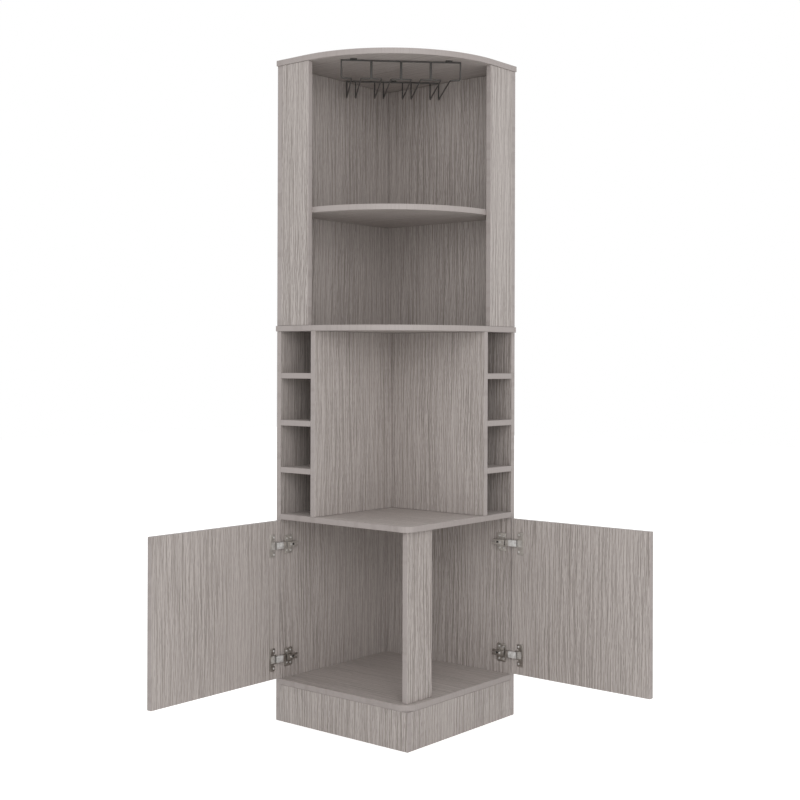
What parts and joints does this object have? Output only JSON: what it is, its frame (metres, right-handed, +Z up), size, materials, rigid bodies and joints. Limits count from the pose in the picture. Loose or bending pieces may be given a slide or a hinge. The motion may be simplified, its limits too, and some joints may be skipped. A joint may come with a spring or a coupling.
{
  "type": "corner bar cabinet",
  "caption": "Tall corner cabinet of laminate boards with open bays, a wire glass rack, bottle cubbies beside a bar niche, and a cupboard with doors on cup hinges.",
  "frame": {"origin": "the outer back corner of the two walls, on the floor", "axes": "+Z up; the left wall runs from the corner along -Y and the right wall along +X, so the cabinet's front corner lies towards +X and -Y. Rest pose: both doors open, in line with their walls"},
  "size_m": [0.9005, 0.9155, 1.8],
  "materials": {
    "laminate": "grey oak laminate on particle board, satin",
    "hinge_steel": "pressed steel, nickel plated",
    "rack_wire": "welded steel wire, black powder coat"
  },
  "bodies": {
    "cabinet": {"bottom_shelf": "laminate", "counter": "laminate", "left_cubby_shelf_1": "laminate", "left_cubby_shelf_2": "laminate", "left_cubby_shelf_3": "laminate", "right_cubby_shelf_1": "laminate", "right_cubby_shelf_2": "laminate", "right_cubby_shelf_3": "laminate", "left_divider": "laminate", "right_divider": "laminate", "left_stile": "laminate", "right_stile": "laminate", "lower_left_wall": "laminate", "lower_right_wall": "laminate", "upper_left_wall": "laminate", "upper_right_wall": "laminate", "middle_panel": "laminate", "top_panel": "laminate", "upper_shelf": "laminate", "plinth_left": "laminate", "plinth_right": "laminate", "post": "laminate", "left_upper_mounting_plate": "hinge_steel", "left_upper_arm": "hinge_steel", "left_upper_link_pin": "hinge_steel", "left_lower_mounting_plate": "hinge_steel", "left_lower_arm": "hinge_steel", "left_lower_link_pin": "hinge_steel", "right_upper_mounting_plate": "hinge_steel", "right_upper_arm": "hinge_steel", "right_upper_link_pin": "hinge_steel", "right_lower_mounting_plate": "hinge_steel", "right_lower_arm": "hinge_steel", "right_lower_link_pin": "hinge_steel", "rack_front_rail": "rack_wire", "rack_rear_rail": "rack_wire", "rack_hanger_1": "rack_wire", "rack_hanger_2": "rack_wire", "rack_hanger_3": "rack_wire", "rack_hanger_4": "rack_wire", "rack_hanger_5": "rack_wire"},
    "left_door": {"left_door": "laminate", "left_upper_cup": "hinge_steel", "left_lower_cup": "hinge_steel"},
    "right_door": {"right_door": "laminate", "right_upper_cup": "hinge_steel", "right_lower_cup": "hinge_steel"},
    "left_hinge_links": {"left_upper_link": "hinge_steel", "left_lower_link": "hinge_steel"},
    "right_hinge_links": {"right_upper_link": "hinge_steel", "right_lower_link": "hinge_steel"}
  },
  "joints": [
    {"name": "left_door_hinge", "type": "hinge", "parent": "cabinet", "child": "left_door", "pos_m": [0.00875, -0.45875, 0.3315], "axis": [0, 0, 1], "range_deg": [0, 90]},
    {"name": "right_door_hinge", "type": "hinge", "parent": "cabinet", "child": "right_door", "pos_m": [0.45875, -0.00875, 0.3315], "axis": [0, 0, -1], "range_deg": [0, 90]},
    {"name": "left_link_pivot", "type": "hinge", "parent": "cabinet", "child": "left_hinge_links", "pos_m": [0.0222, -0.4445, 0.3315], "axis": [0, 0, 1], "range_deg": [0, 90]},
    {"name": "right_link_pivot", "type": "hinge", "parent": "cabinet", "child": "right_hinge_links", "pos_m": [0.4445, -0.0222, 0.3315], "axis": [0, 0, -1], "range_deg": [0, 90]}
  ],
  "couplings": [
    {"joint": "left_link_pivot", "follows": "left_door_hinge", "ratio": 1},
    {"joint": "right_link_pivot", "follows": "right_door_hinge", "ratio": 1}
  ]
}
